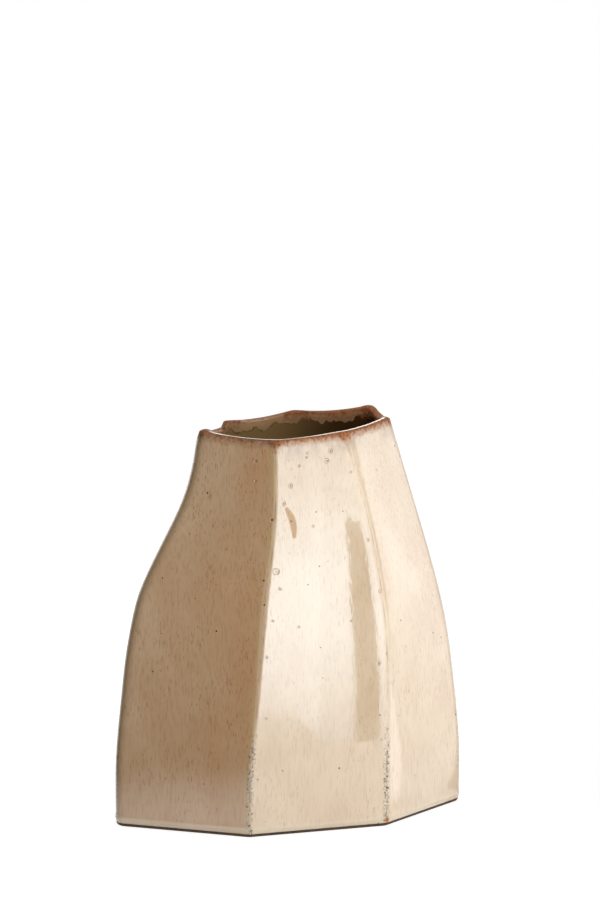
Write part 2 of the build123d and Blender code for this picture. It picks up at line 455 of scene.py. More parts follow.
    def cleared(self, points: np.ndarray) -> np.ndarray:
        """Points moved outwards to where they stand clear of the clay.

        Args:
            points: Points by ring and column.

        Returns:
            The moved points, eased into their neighbours.
        """
        if self.clay is None:
            return points
        outwards = points[..., :2] / np.linalg.norm(points[..., :2], axis=-1, keepdims=True)
        full = self.clay_reach + self.clay_clearance
        push = np.zeros(points.shape[:2])
        for ring, column in np.ndindex(push.shape):
            way = Vector((*outwards[ring, column], 0.0))
            start = Vector(points[ring, column]) + way * self.clay_reach
            hit = self.clay.ray_cast(start * MM, -way, full * MM)
            if hit[0] is not None:
                push[ring, column] = full - hit[3] / MM
        around = np.mean([np.roll(push, step, axis=1) for step in (-1, 0, 1)], axis=0)
        padded = np.pad(around, ((1, 1), (0, 0)), mode="edge")
        push = np.maximum(push, np.mean([padded[:-2], padded[1:-1], padded[2:]], axis=0))
        moved = points.copy()
        moved[..., :2] += outwards * push[..., None]
        return moved

    def undulated(self, points: np.ndarray, share: np.ndarray) -> np.ndarray:
        """Points moved in and out a little, as a hand-rolled wall is.

        Args:
            points: Points by ring and column.
            share: How much of the movement each point takes.

        Returns:
            The moved points.
        """
        outwards = points[..., :2] / np.linalg.norm(points[..., :2], axis=-1, keepdims=True)
        flat = points.reshape(-1, 3) / self.undulation_length
        sway = np.array([noise.noise(Vector(place)) for place in flat]).reshape(share.shape)
        moved = points.copy()
        moved[..., :2] += outwards * (sway * share * self.undulation)[..., None]
        return moved

    @property
    def lip_quarter(self) -> float:
        """Way over the rounded lip from its crest to either wall."""
        half_wall = self.form.wall_at_mouth / 2 + self.thickness
        return math.pi / 2 * math.sqrt((half_wall ** 2 + self.lip_height ** 2) / 2)

    def inner_rings(self) -> tuple[np.ndarray, np.ndarray]:
        """Inside of the skin, from the lip down the walls, round the heel and over the floor to its middle.

        Returns:
            Points by ring and column, and the distance below the rim's crest, counted as negative.
        """
        form = self.form
        top = self.rim + self.thickness - self.lip_height
        floor = form.base_thickness + self.thickness
        bottom = floor + self.heel_radius
        share = np.linspace(0.0, 1.0, self.inside_rings)[:, None]
        heights = top + (bottom - top) * share
        level = form.level_at(heights)
        inwards = form.wall_at(level) + self.thickness
        angle = np.linspace(0.0, math.pi / 2, self.heel_rings + 1)[1:, None]
        heel_heights = np.repeat(floor + self.heel_radius * (1 - np.sin(angle)), len(self.rim), axis=1)
        heel_level = form.level_at(heel_heights)
        heel_inwards = form.wall_at(heel_level) + self.thickness + self.heel_radius * (1 - np.cos(angle))
        heights = np.concatenate([heights, heel_heights])
        level = np.concatenate([level, heel_level])
        inwards = np.concatenate([inwards, heel_inwards])
        rise = np.clip((top - heights) / self.inside_corner_rise, 0.0, 1.0)
        corner = self.inside_corner_at_lip + (self.inside_corner - self.inside_corner_at_lip) * rise
        plan = self.outline(level, -inwards, corner) - self.middle
        points = np.concatenate([plan, heights[..., None]], axis=-1)
        centre = np.append(plan[-1].mean(axis=0), floor)
        shares = np.linspace(1.0, 0.0, self.floor_rings + 1)[1:, None, None]
        floor_points = centre + (points[-1] - centre) * shares
        points = np.concatenate([points, floor_points])
        return points, points[..., 2] - top - self.lip_quarter

    def all_rings(self) -> tuple[np.ndarray, np.ndarray]:
        """Every ring of the skin in turn, from the foot up, over the lip and down the inside.

        Returns:
            Points by ring and column, and the distance from the rim's crest, negative inside.
        """
        outside, outside_path = self.outer_rings()
        inside, inside_path = self.inner_rings()
        angle = np.linspace(0.0, math.pi, self.lip_rings + 1)[1:-1, None, None]
        centre = (outside[-1] + inside[0]) / 2
        reach = (outside[-1] - inside[0]) / 2
        lift = np.array([0.0, 0.0, self.lip_height])
        lip = centre + reach * np.cos(angle) + lift * np.sin(angle)
        way = self.lip_quarter * (1 - angle[..., 0] * 2 / math.pi)
        lip_path = np.repeat(way, len(self.rim), axis=1)
        return np.concatenate([outside, lip, inside]), np.concatenate([outside_path, lip_path, inside_path])

    def build(self) -> bpy.types.Object:
        """Models the skin.

        Returns:
            The glaze coat, closed at its middle inside and given its thickness.
        """
        points, path = self.all_rings()
        rings, columns = path.shape
        level = self.form.level_at(points[..., 2])
        gap = np.abs(self.arris_gap[0] + level * (self.arris_gap[1] - self.arris_gap[0]))
        shape = bmesh.new()
        lip_layer = shape.verts.layers.float.new("lip_path")
        arris_layer = shape.verts.layers.float.new("arris_gap")
        pour_and_shade_layer = shape.verts.layers.float.new("pour_and_shade")
        lip_highlight_layer = shape.verts.layers.float.new("painted_lip_highlight")
        grid = bmesh.ops.create_grid(shape, x_segments=columns, y_segments=rings - 1, size=1.0)["verts"]
        for vert in grid:
            column = round((vert.co.x + 1.0) / 2 * columns) % columns
            ring = round((vert.co.y + 1.0) / 2 * (rings - 1))
            vert.co = Vector(points[ring, column]) * MM
            vert[lip_layer] = path[ring, column]
            vert[arris_layer] = gap[ring, column]
            vert[pour_and_shade_layer] = self.pour_and_shade[column]
            vert[lip_highlight_layer] = self.lip_highlight_mask[column]
        bmesh.ops.remove_doubles(shape, verts=shape.verts, dist=self.weld * MM)
        bmesh.ops.recalc_face_normals(shape, faces=shape.faces)
        shape.faces.ensure_lookup_table()
        outer = max(shape.faces, key=lambda face: face.calc_center_median().x)
        if outer.normal.x < 0:
            bmesh.ops.reverse_faces(shape, faces=shape.faces)
        for face in shape.faces:
            face.smooth = True
        mesh = bpy.data.meshes.new("glaze_coat")
        shape.to_mesh(mesh)
        self.surface = BVHTree.FromBMesh(shape)
        shape.free()
        coat = bpy.data.objects.new("glaze_coat", mesh)
        bpy.context.scene.collection.objects.link(coat)
        shell = coat.modifiers.new("shell", "SOLIDIFY")
        shell.thickness = self.shell * MM
        shell.offset = -1.0
        return coat

    def dress(self, coat: bpy.types.Object, glaze: bpy.types.Material) -> None:
        """Glazes the coat and hands it to the frame."""
        coat.data.materials.append(glaze)
        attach(coat, BODY)


@dataclass(frozen=True)
class Grain:
    """A noise pattern of a real size, in millimetres across the wall and along it, cut between two of its values."""

    across: float
    along: float
    low: float
    high: float
    detail: float = 2.0
    seed: float = 0.0

    def build(self, tree: bpy.types.NodeTree, place: bpy.types.NodeSocket) -> bpy.types.NodeSocket:
        """Adds the pattern.

        Args:
            tree: The material's nodes.
            place: Object coordinates.

        Returns:
            0 below the low value, 1 above the high one, eased between.
        """
        stretch = (1 / (self.across * MM), 1 / (self.across * MM), 1 / (self.along * MM))
        cells = add_node(tree, "VectorMath", {0: place, 1: stretch}, operation="MULTIPLY")
        cloud = add_node(tree, "TexNoise",
                         {"Vector": cells, "W": self.seed, "Scale": 1.0, "Detail": self.detail},
                         noise_dimensions="4D")
        return add_node(tree, "MapRange", {"Value": cloud, "From Min": self.low, "From Max": self.high},
                        interpolation_type="SMOOTHSTEP")


@dataclass(frozen=True)
class WallMaps:
    """Sockets that tell where on the glaze a point lies."""

    place: bpy.types.NodeSocket
    across: bpy.types.NodeSocket
    height: bpy.types.NodeSocket
    lip: bpy.types.NodeSocket
    from_lip: bpy.types.NodeSocket
    from_arris: bpy.types.NodeSocket
    pour_and_shade: bpy.types.NodeSocket
    lip_highlight_mask: bpy.types.NodeSocket

    @classmethod
    def of(cls, tree: bpy.types.NodeTree) -> "WallMaps":
        """Adds the maps to a material.

        Args:
            tree: The material's nodes.

        Returns:
            The place in metres, and the other distances in millimetres.
        """
        place = add_node(tree, "TexCoord", take="Object")
        across, height = (
            add_node(tree, "Math",
                     {0: add_node(tree, "SeparateXYZ", {"Vector": place}, take=axis), 1: 1 / MM},
                     operation="MULTIPLY")
            for axis in ("X", "Z")
        )
        lip, from_arris, pour_and_shade, lip_highlight_mask = (
            add_node(tree, "Attribute", take="Fac", attribute_name=name)
            for name in ("lip_path", "arris_gap", "pour_and_shade", "painted_lip_highlight")
        )
        from_lip = add_node(tree, "Math", {0: lip}, operation="ABSOLUTE")
        return cls(place, across, height, lip, from_lip, from_arris, pour_and_shade, lip_highlight_mask)


@dataclass(frozen=True)
class GlazeMarks:
    """Marks at places of their own on the glaze, each a place in metres with a radius in millimetres."""

    pinholes: list
    smears: list
    rust_spots: list


@dataclass(frozen=True)
class CreamGlaze:
    """Cream stoneware glaze over iron-bearing clay, poured on and fired to a gloss."""

    # Thin glaze tan, laid most on the left slab, where it is also painted shade.
    thin: str = "#C8A27B"
    thick: str = "#F4DEC0"
    warm: str = "#C08B5E"
    pale: str = "#F0DFC2"
    streak: str = "#A97F58"
    fleck: str = "#9A4A1C"
    speck: str = "#33241A"
    rust: str = "#B56E36"
    # Darker rust where the glaze is thin, which on the left and rear lip is also painted shade.
    rust_on_thin_and_shade: str = "#7E5029"
    dark_rust: str = "#5A3317"
    lilac: str = "#B09684"
    # Painted highlight along the crest of the front lip.
    crest: str = "#FFFBF2"
    break_line: str = "#93602F"
    # Tan along the arrises: partly thinned glaze, partly painted light on their rounding.
    painted_arris_light: str = "#CBAE80"
    ash: str = "#7E8070"
    smear: str = "#C48F58"
    liner_band: str = "#B8956A"
    # Band and liner darkened towards the right: painted shade inside the mouth.
    shaded_liner_band: str = "#76502B"
    liner: str = "#A38A60"
    shaded_liner: str = "#4A341D"
    liner_edge: str = "#2B2013"
    roughness: float = 0.035
    rust_roughness: float = 0.85
    refraction: float = 1.65
    drift: Grain = Grain(28.0, 48.0, 0.36, 0.68, 2.0, 1.0)
    clouding: Grain = Grain(20.0, 34.0, 0.3, 0.7, 3.0, 2.0)
    streaks: Grain = Grain(0.9, 8.0, 0.46, 0.72, 3.0, 3.0)
    pale_streaks: Grain = Grain(3.2, 15.0, 0.52, 0.72, 2.0, 4.0)
    flecks: Grain = Grain(0.6, 4.0, 0.59, 0.7, 1.0, 5.0)
    fleck_groups: Grain = Grain(16.0, 22.0, 0.34, 0.62, 1.0, 6.0)
    mottle: Grain = Grain(1.3, 1.6, 0.42, 0.68, 4.0, 7.0)
    ragged: Grain = Grain(1.7, 2.1, 0.2, 0.8, 6.0, 8.0)
    broken: Grain = Grain(4.0, 11.0, 0.38, 0.72, 5.0, 9.0)
    speckle: Grain = Grain(1.15, 1.6, 0.57, 0.66, 1.0, 10.0)
    peel: Grain = Grain(2.2, 3.0, 0.0, 1.0, 1.0, 11.0)
    runs: Grain = Grain(6.0, 14.0, 0.3, 0.7, 4.0, 12.0)
    speck_cell: float = 7.5
    speck_radius: float = 0.5
    speck_crispness: float = 3.0
    inside_from: tuple = (-1.5, 1.0)
    uneven: float = 0.16
    shown_on_thick: float = 0.45
    drift_share: float = 0.18
    streak_share: float = 0.42
    pale_share: float = 0.3
    arris_light_share: float = 0.6
    fleck_share: float = 0.6
    line_share: float = 0.6
    ash_share: float = 0.8
    roll_share: float = 0.5
    rust_depth: tuple = (-0.4, 5.4)
    rust_raggedness: float = 3.0
    rust_held_back: tuple = (2.2, -1.2)
    lilac_depth: tuple = (4.0, 14.0)
    lilac_share: float = 0.6
    lip_highlight_line: tuple = (0.25, 0.75)
    lip_highlight_set_back: float = 0.25
    lip_highlight_share: float = 0.9
    arris_rust: float = 2.2
    arris_strip: tuple = (1.8, 4.2)
    arris_line: tuple = (0.15, 0.6)
    speckle_strip: tuple = (0.8, 2.6)
    speckle_top: tuple = (32.0, 66.0)
    roll_band: tuple = (2.0, 3.0, 4.8, 6.4)
    liner_start: tuple = (4.5, 5.1)
    liner_runs: float = 4.0
    liner_line: float = 0.8
    liner_across: tuple = (-10.0, 45.0)
    band_share: float = 0.6
    edge_share: float = 0.85
    peel_depth: float = 9.0e-6
    rust_grain_depth: float = 3.0e-5
    pinhole_dot: tuple = (0.3, 0.56)
    pinhole_halo: tuple = (0.65, 0.92)
    pinhole_ring: tuple = (1.0, 1.2)
    pinhole_wall: tuple = (0.65, 1.25)
    pinhole_depth: float = 1.6e-4
    pinhole_raggedness: float = 0.35
    ring_share: float = 0.4
    halo_share: float = 0.7
    smear_edge: tuple = (0.45, 0.95)
    smear_share: float = 0.45
    spot_edge: tuple = (0.2, 1.0)

    def between(self, tree: bpy.types.NodeTree, value: bpy.types.NodeSocket, first: float,
                last: float) -> bpy.types.NodeSocket:
        """Mask that eases from 1 before the first value to 0 after the last one."""
        return add_node(tree, "MapRange",
                        {"Value": value, "From Min": first, "From Max": last, "To Min": 1.0, "To Max": 0.0},
                        interpolation_type="SMOOTHSTEP")

    def both(self, tree: bpy.types.NodeTree, *masks: bpy.types.NodeSocket | float) -> bpy.types.NodeSocket:
        """Product of masks, or of masks and plain shares."""
        product = masks[0]
        for mask in masks[1:]:
            product = add_node(tree, "Math", {0: product, 1: mask}, operation="MULTIPLY")
        return product

    def over(self, tree: bpy.types.NodeTree, under: bpy.types.NodeSocket,
             layers: tuple) -> bpy.types.NodeSocket:
        """Lays colours over one another.

        Args:
            tree: The material's nodes.
            under: The colour beneath.
            layers: Pairs of a mask and a hex colour, or a colour socket.

        Returns:
            The colour with every layer laid over it in turn.
        """
        for mask, colour in layers:
            top = linear(colour) if isinstance(colour, str) else colour
            under = add_node(tree, "MixRGB", {"Fac": mask, "Color1": under, "Color2": top})
        return under

    def blend(self, tree: bpy.types.NodeTree, share: bpy.types.NodeSocket, first: str,
              last: str) -> bpy.types.NodeSocket:
        """Colour between two hex colours."""
        return add_node(tree, "MixRGB", {"Fac": share, "Color1": linear(first), "Color2": linear(last)})

    def specks(self, tree: bpy.types.NodeTree, place: bpy.types.NodeSocket) -> bpy.types.NodeSocket:
        """Iron specks: one small dot of its own size in each cell."""
        cell = 1 / (self.speck_cell * MM)
        cells = {"Vector": place, "Scale": cell, "Randomness": 1.0}
        apart = add_node(tree, "TexVoronoi", cells, take="Distance")
        tint = add_node(tree, "TexVoronoi", cells, take="Color")
        own_size = add_node(tree, "SeparateColor", {"Color": tint}, take="Red")
        reach = self.speck_radius / self.speck_cell
        shrunk = add_node(tree, "Math", {0: own_size, 1: -reach, 2: apart}, operation="MULTIPLY_ADD")
        edge = reach / self.speck_crispness
        return self.between(tree, shrunk, -edge, edge)

    def nearest(self, tree: bpy.types.NodeTree, place: bpy.types.NodeSocket, marks: list) -> bpy.types.NodeSocket:
        """Distance from the nearest mark, as a share of its radius.

        Args:
            tree: The material's nodes.
            place: Object coordinates.
            marks: Places on the glaze, in metres, with radii.

        Returns:
            The share, 1 at the rim of a mark.
        """
        least = None
        for point, radius in marks:
            apart = add_node(tree, "VectorMath", {0: place, 1: point}, take="Value", operation="DISTANCE")
            share = add_node(tree, "Math", {0: apart, 1: radius * MM}, operation="DIVIDE")
            least = share if least is None else add_node(
                tree, "Math", {0: least, 1: share}, operation="MINIMUM")
        return least

    def walls(self, tree: bpy.types.NodeTree, maps: WallMaps, mottle: bpy.types.NodeSocket,
              strip: bpy.types.NodeSocket) -> bpy.types.NodeSocket:
        """Colours the walls.

        Args:
            tree: The material's nodes.
            maps: Where a point lies.
            mottle: Fine mottling.
            strip: Mask of the strips along the arrises.

        Returns:
            The colour of the glaze away from the lip.
        """
        # Thin glaze lets the clay's tan through and also paints the left slab's shade, thick glaze is cream, clouds
        # make both uneven.
        clouding = self.clouding.build(tree, maps.place)
        depth_and_shade = add_node(tree, "MapRange",
                         {"Value": clouding, "To Min": -self.uneven / 2, "To Max": self.uneven / 2})
        depth_and_shade = add_node(tree, "Math", {0: depth_and_shade, 1: maps.pour_and_shade}, operation="ADD", use_clamp=True)
        shown = add_node(tree, "MapRange",
                         {"Value": maps.pour_and_shade, "To Min": 1.0, "To Max": self.shown_on_thick})
        flecks = self.both(tree, self.flecks.build(tree, maps.place), self.fleck_groups.build(tree, maps.place))
        # Painted light: the arris strip is laid most on the slabs that the pour paints in shade.
        bare = self.between(tree, maps.pour_and_shade, 0.0, 1.0)
        line = self.both(tree, self.between(tree, maps.from_arris, *self.arris_line),
                         self.broken.build(tree, maps.place))
        # Runs and dashes drawn down the wall, a broken brown line where it thins on an arris, and a tan strip there,
        # partly painted light.
        colour = self.over(tree, self.blend(tree, depth_and_shade, self.thin, self.thick), (
            (self.both(tree, self.drift.build(tree, maps.place), self.drift_share), self.warm),
            (self.both(tree, self.streaks.build(tree, maps.place), shown, self.streak_share), self.streak),
            (self.both(tree, self.pale_streaks.build(tree, maps.place), maps.pour_and_shade, self.pale_share), self.pale),
            (self.both(tree, strip, bare, self.arris_light_share), self.painted_arris_light),
            (self.both(tree, flecks, shown, self.fleck_share), self.fleck),
            (self.both(tree, line, self.line_share), self.break_line),
        ))
        # Grey-green ash and black speckles on the arrises near the foot, and single iron specks.
        low_wall = self.between(tree, maps.height, *self.speckle_top)
        ash = self.both(tree, self.between(tree, maps.from_arris, *self.speckle_strip), low_wall)
        # The roll of glaze over the foot is pale, as thick glaze is.
        first, second, third, fourth = self.roll_band
        roll = self.both(tree, self.between(tree, maps.height, second, first),
                         self.between(tree, maps.height, third, fourth))
        return self.over(tree, colour, (
            (self.both(tree, roll, self.roll_share), self.pale),
            (self.both(tree, ash, mottle, self.ash_share), self.ash),
            (self.both(tree, ash, self.speckle.build(tree, maps.place)), self.speck),
            (self.specks(tree, maps.place), self.speck),
        ))

    def lining(self, tree: bpy.types.NodeTree, maps: WallMaps, colour: bpy.types.NodeSocket,
               inside: bpy.types.NodeSocket, righter: bpy.types.NodeSocket) -> bpy.types.NodeSocket:
        """Lays the inside over the colour: a tan band under the rim, a ragged dark line, a darker liner below.

        Args:
            tree: The material's nodes.
            maps: Where a point lies.
            colour: The colour so far.
            inside: Mask of the inside.
            righter: Share that rises to the right, where painted shade darkens the liner and the line is lost.

        Returns:
            The colour with the inside laid over it.
        """
        reach = add_node(tree, "Math",
                         {0: self.runs.build(tree, maps.place), 1: -self.liner_runs, 2: maps.from_lip},
                         operation="MULTIPLY_ADD")
        start, full = self.liner_start
        lined = self.both(tree, self.between(tree, reach, full, start), inside)
        edge = self.both(tree, lined, self.between(tree, reach, start + self.liner_line, full + self.liner_line),
                         self.broken.build(tree, maps.place), self.between(tree, righter, 0.0, 1.0))
        return self.over(tree, colour, (
            (self.both(tree, inside, self.band_share),
             self.blend(tree, righter, self.liner_band, self.shaded_liner_band)),
            (lined, self.blend(tree, righter, self.liner, self.shaded_liner)),
            (self.both(tree, edge, self.edge_share), self.liner_edge),
        ))

    def skin(self, tree: bpy.types.NodeTree, maps: WallMaps, grain: bpy.types.NodeSocket,
             pit: bpy.types.NodeSocket) -> bpy.types.NodeSocket:
        """Fine relief of the glass: its peel, the grain of the rust, and the walls of the pinholes."""
        normal = add_node(tree, "Bump", {"Height": self.peel.build(tree, maps.place),
                                                   "Distance": self.peel_depth, "Strength": 1.0})
        normal = add_node(tree, "Bump", {"Height": grain, "Distance": self.rust_grain_depth,
                                                   "Strength": 1.0, "Normal": normal})
        return add_node(tree, "Bump", {"Height": pit, "Distance": self.pinhole_depth,
                                                 "Strength": 1.0, "Normal": normal}, invert=True)

    def material(self, marks: GlazeMarks) -> bpy.types.Material:
        """Makes the material.

        Args:
            marks: The pinholes, smears and rust spots of this vase.

        Returns:
            A glossy cream glass with runs, flecks and specks, rust where it thins over the lip and the arrises.
        """
        material, tree = new_material("poured_cream_stoneware_glaze")
        maps = WallMaps.of(tree)
        inside = self.between(tree, maps.lip, *self.inside_from)
        # Painted shade: the inside darkens towards the right.
        first, last = self.liner_across
        righter = self.between(tree, maps.across, last, first)
        mottle = self.mottle.build(tree, maps.place)
        strip = self.between(tree, maps.from_arris, *self.arris_strip)
        colour = self.walls(tree, maps, mottle, strip)
        colour = self.lining(tree, maps, colour, inside, righter)

        # The glaze thins over the lip, where the iron breaks through rust brown, lilac grey below it.
        held = add_node(tree, "MapRange", {"Value": righter, "To Min": self.rust_held_back[0],
                                                     "To Max": self.rust_held_back[1]})
        reach = add_node(tree, "Math",
                         {0: self.ragged.build(tree, maps.place), 1: -self.rust_raggedness, 2: maps.from_lip},
                         operation="MULTIPLY_ADD")
        outside = add_node(tree, "Math", {0: 1.0, 1: inside}, operation="SUBTRACT")
        greyed = self.both(tree, self.between(tree, reach, *self.lilac_depth), outside, maps.pour_and_shade,
                           self.runs.build(tree, maps.place))
        drawn = add_node(tree, "Math", {0: strip, 1: -self.arris_rust, 2: reach}, operation="MULTIPLY_ADD")
        drawn = add_node(tree, "Math", {0: inside, 1: held, 2: drawn}, operation="MULTIPLY_ADD")
        rusty = self.between(tree, drawn, *self.rust_depth)
        spot = self.between(tree, self.nearest(tree, maps.place, marks.rust_spots), *self.spot_edge)
        rusty = add_node(tree, "Math", {0: rusty, 1: spot}, operation="MAXIMUM")
        # Rust darkens where the pour is low, partly painted shade on the left and rear lip.
        rust = self.over(tree, self.blend(tree, maps.pour_and_shade, self.rust_on_thin_and_shade, self.rust), ((mottle, self.dark_rust),))
        # A painted highlight: a pale line along the crest of the front lip.
        set_back = add_node(tree, "Math", {0: maps.lip, 1: self.lip_highlight_set_back}, operation="ADD")
        set_back = add_node(tree, "Math", {0: set_back}, operation="ABSOLUTE")
        crest = self.both(tree, self.between(tree, set_back, *self.lip_highlight_line), maps.lip_highlight_mask, self.lip_highlight_share)
        smear = self.between(tree, self.nearest(tree, maps.place, marks.smears), *self.smear_edge)
        colour = self.over(tree, colour, (
            (self.both(tree, smear, self.smear_share), self.smear),
            (self.both(tree, greyed, self.lilac_share), self.lilac),
            (rusty, rust),
            (crest, self.crest),
        ))

        # Pinholes: a dark dot in a pale pit with a thin brown ring.
        apart = add_node(tree, "Math",
                         {0: mottle, 1: self.pinhole_raggedness, 2: self.nearest(tree, maps.place, marks.pinholes)},
                         operation="MULTIPLY_ADD")
        colour = self.over(tree, colour, (
            (self.both(tree, self.between(tree, apart, *self.pinhole_ring), self.ring_share), self.break_line),
            (self.both(tree, self.between(tree, apart, *self.pinhole_halo), maps.pour_and_shade, self.halo_share), self.pale),
            (self.between(tree, apart, *self.pinhole_dot), self.dark_rust),
        ))

        # The rust and the smear are dull, the painted highlight on the lip is not.
        dull = add_node(tree, "Math", {0: rusty, 1: smear}, operation="MAXIMUM")
        dull = add_node(tree, "Math", {0: dull, 1: crest}, operation="SUBTRACT", use_clamp=True)
        rough = add_node(tree, "MapRange",
                         {"Value": dull, "To Min": self.roughness, "To Max": self.rust_roughness})
        skin = self.skin(tree, maps, self.both(tree, mottle, rusty), self.between(tree, apart, *self.pinhole_wall))
        shader = add_node(tree, "BsdfPrincipled",
                          {"Base Color": colour, "Roughness": rough, "IOR": self.refraction, "Normal": skin})
        add_node(tree, "OutputMaterial", {"Surface": shader})
        return material


class ClayKind(Enum):
    """What a node of the solids is, told from the end of its name."""

    BASE = "base_slab"
    SLAB = "slab"
    SLIP = "slip"
    COIL = "coil"

    @classmethod
    def of(cls, node: str) -> "ClayKind":
        """Kind of a named node."""
        return next(kind for kind in cls if node.endswith(kind.value))


@dataclass(frozen=True)
class BareClay:
    """Fired stoneware clay without glaze."""

    name: str
    body: str
    toasted: str
    grog: str
    roughness: float
    toasting: Grain = Grain(14.0, 14.0, 0.35, 0.7, 3.0, 21.0)
    gritty: Grain = Grain(0.8, 0.8, 0.58, 0.68, 1.0, 22.0)
    grit_depth: float = 6.0e-5

    def material(self) -> bpy.types.Material:
        """Makes the material.

        Returns:
            A matt clay, toasted in patches, with grains of grog in it.
        """
        material, tree = new_material(self.name)
        place = add_node(tree, "TexCoord", take="Object")
        toasted = self.toasting.build(tree, place)
        grit = self.gritty.build(tree, place)
        colour = add_node(tree, "MixRGB",
                          {"Fac": toasted, "Color1": linear(self.body), "Color2": linear(self.toasted)})
        colour = add_node(tree, "MixRGB", {"Fac": grit, "Color1": colour, "Color2": linear(self.grog)})
        skin = add_node(tree, "Bump", {"Height": grit, "Distance": self.grit_depth, "Strength": 1.0})
        shader = add_node(tree, "BsdfPrincipled",
                          {"Base Color": colour, "Roughness": self.roughness, "Normal": skin})
        add_node(tree, "OutputMaterial", {"Surface": shader})
        return material


CLAYS = {
    ClayKind.BASE: BareClay("toasted_stoneware_foot", "#4B3A2B", "#33261B", "#6E5A45", 0.9),
    ClayKind.SLAB: BareClay("rolled_stoneware_slab", "#B08A62", "#94653F", "#6F4A2E", 0.8),
    ClayKind.SLIP: BareClay("fired_luting_slip", "#9A7550", "#7E5636", "#A98B68", 0.85),
    ClayKind.COIL: BareClay("pressed_stoneware_coil", "#A78260", "#8C6241", "#6F4A2E", 0.85),
}


@dataclass(frozen=True)
class PhotoCamera:
    """The camera, at the photograph's place and angle, and the pixels at which the glaze's marks show."""

    location: tuple = (-523.9, -1464.7, 547.2)
    forward: tuple = (0.3337, 0.9167, -0.2198)
    focal_pixels: float = 3040.0
    image_width: int = 600
    image_height: int = 900
    film: float = 36.0
    pinhole_pixels: tuple = (
        (290.6, 486.0, 1.3), (284.0, 504.0, 1.3), (299.0, 466.0, 0.9), (327.0, 461.0, 1.4), (330.5, 451.0, 1.4),
        (307.0, 453.0, 0.7), (306.5, 457.5, 0.7), (276.0, 571.5, 1.9), (280.0, 589.0, 0.9), (313.0, 526.0, 0.8),
        (368.0, 540.0, 0.8), (380.0, 591.0, 1.0), (351.0, 472.0, 0.8), (256.0, 461.0, 1.0), (256.0, 481.0, 0.8),
        (272.0, 520.0, 1.1), (272.5, 621.0, 0.8), (299.0, 627.0, 0.7), (351.0, 621.0, 0.7), (266.7, 657.5, 0.9),
        (379.0, 664.0, 1.1), (386.7, 653.5, 0.8), (266.0, 719.0, 0.9), (257.5, 779.5, 0.8), (381.0, 740.0, 0.9),
    )
    smear_pixels: tuple = (
        (287.0, 509.5, 1.6), (288.8, 512.5, 2.0), (290.3, 515.5, 2.3), (291.6, 518.5, 2.5), (292.6, 521.5, 2.6),
        (293.3, 524.5, 2.5), (293.8, 527.5, 2.4), (294.1, 530.5, 2.1), (294.2, 533.5, 1.8), (294.2, 536.5, 1.5),
    )
    rust_pixels: tuple = ((387.0, 820.0, 2.4),)

    def ray(self, across: float, down: float) -> tuple[Vector, Vector]:
        """Ray through a pixel.

        Args:
            across: Pixels from the left edge.
            down: Pixels from the top edge.

        Returns:
            Its start and its direction, in metres.
        """
        forward = Vector(self.forward).normalized()
        right = forward.cross(Vector((0.0, 0.0, 1.0))).normalized()
        up = right.cross(forward)
        aim = forward * self.focal_pixels
        aim += right * (across - self.image_width / 2) - up * (down - self.image_height / 2)
        return Vector(self.location) * MM, aim.normalized()

    def marks_on(self, surface: BVHTree) -> GlazeMarks:
        """Puts the marks on a surface.

        Args:
            surface: The glaze.

        Returns:
            The marks, at the places on the glaze that show at their pixels.
        """
        found = []
        for pixels in (self.pinhole_pixels, self.smear_pixels, self.rust_pixels):
            hits = [(surface.ray_cast(*self.ray(across, down))[0], radius) for across, down, radius in pixels]
            found.append([(hit, radius) for hit, radius in hits if hit is not None])
        return GlazeMarks(*found)

    def build(self) -> bpy.types.Object:
        """Places the camera.

        Returns:
            The camera, made the scene's own.
        """
        lens = bpy.data.cameras.new("photo_camera")
        lens.sensor_width = self.film
        lens.lens = self.focal_pixels / self.image_height * self.film
        camera = bpy.data.objects.new("photo_camera", lens)
        camera.location = Vector(self.location) * MM
        camera.rotation_euler = Vector(self.forward).to_track_quat("-Z", "Y").to_euler()
        bpy.context.scene.collection.objects.link(camera)
        bpy.context.scene.camera = camera
        return camera


@dataclass(frozen=True)
class Softbox:
    """One soft lamp: a lit rectangle, as bright as its glow at a hot spot and dimmer away from it."""

    name: str
    centre: tuple
    facing: tuple
    width: float
    height: float
    glow: float
    edge_glow: float
    hot_spot: tuple = (0.0, 0.0)
    reach: tuple = (1.0, 1.0)
    roll_degrees: float = 0.0
    tint: str = "#FFFFFF"

    def build(self) -> bpy.types.Object:
        """Hangs the lamp.

        Returns:
            The lamp, with a glow at which 1 is a white card in plain light.
        """
        light = bpy.data.lights.new(self.name, "AREA")
        light.shape = "RECTANGLE"
        light.size = self.width * MM
        light.size_y = self.height * MM
        light.energy = self.glow * math.pi * light.size * light.size_y
        self.shade(light)
        lamp = bpy.data.objects.new(self.name, light)
        lamp.location = Vector(self.centre) * MM
        turn = Quaternion((0.0, 0.0, 1.0), math.radians(self.roll_degrees))
        lamp.rotation_euler = (Vector(self.facing).to_track_quat("-Z", "Y") @ turn).to_euler()
        lamp.visible_camera = False
        bpy.context.scene.collection.objects.link(lamp)
        return lamp

    def shade(self, light: bpy.types.Light) -> None:
        """Dims the lamp away from its hot spot."""
        light.use_nodes = True
        tree = light.node_tree
        tree.nodes.clear()
        spot = (0.5 + self.hot_spot[0] / self.width, 0.5 + self.hot_spot[1] / self.height, 0.0)
        scale = (self.width / self.reach[0], self.height / self.reach[1], 0.0)
        share = add_node(tree, "NewGeometry", take="Parametric")
        aside = add_node(tree, "VectorMath", {0: share, 1: spot}, operation="SUBTRACT")
        steps = add_node(tree, "VectorMath", {0: aside, 1: scale}, operation="MULTIPLY")
        away = add_node(tree, "VectorMath", {0: steps}, take="Value", operation="LENGTH")
        level = add_node(tree, "MapRange",
                         {"Value": away, "To Min": 1.0, "To Max": self.edge_glow / self.glow},
                         interpolation_type="SMOOTHSTEP")
        glow = add_node(tree, "Emission", {"Color": linear(self.tint), "Strength": level})
        add_node(tree, "OutputLight", {"Surface": glow})


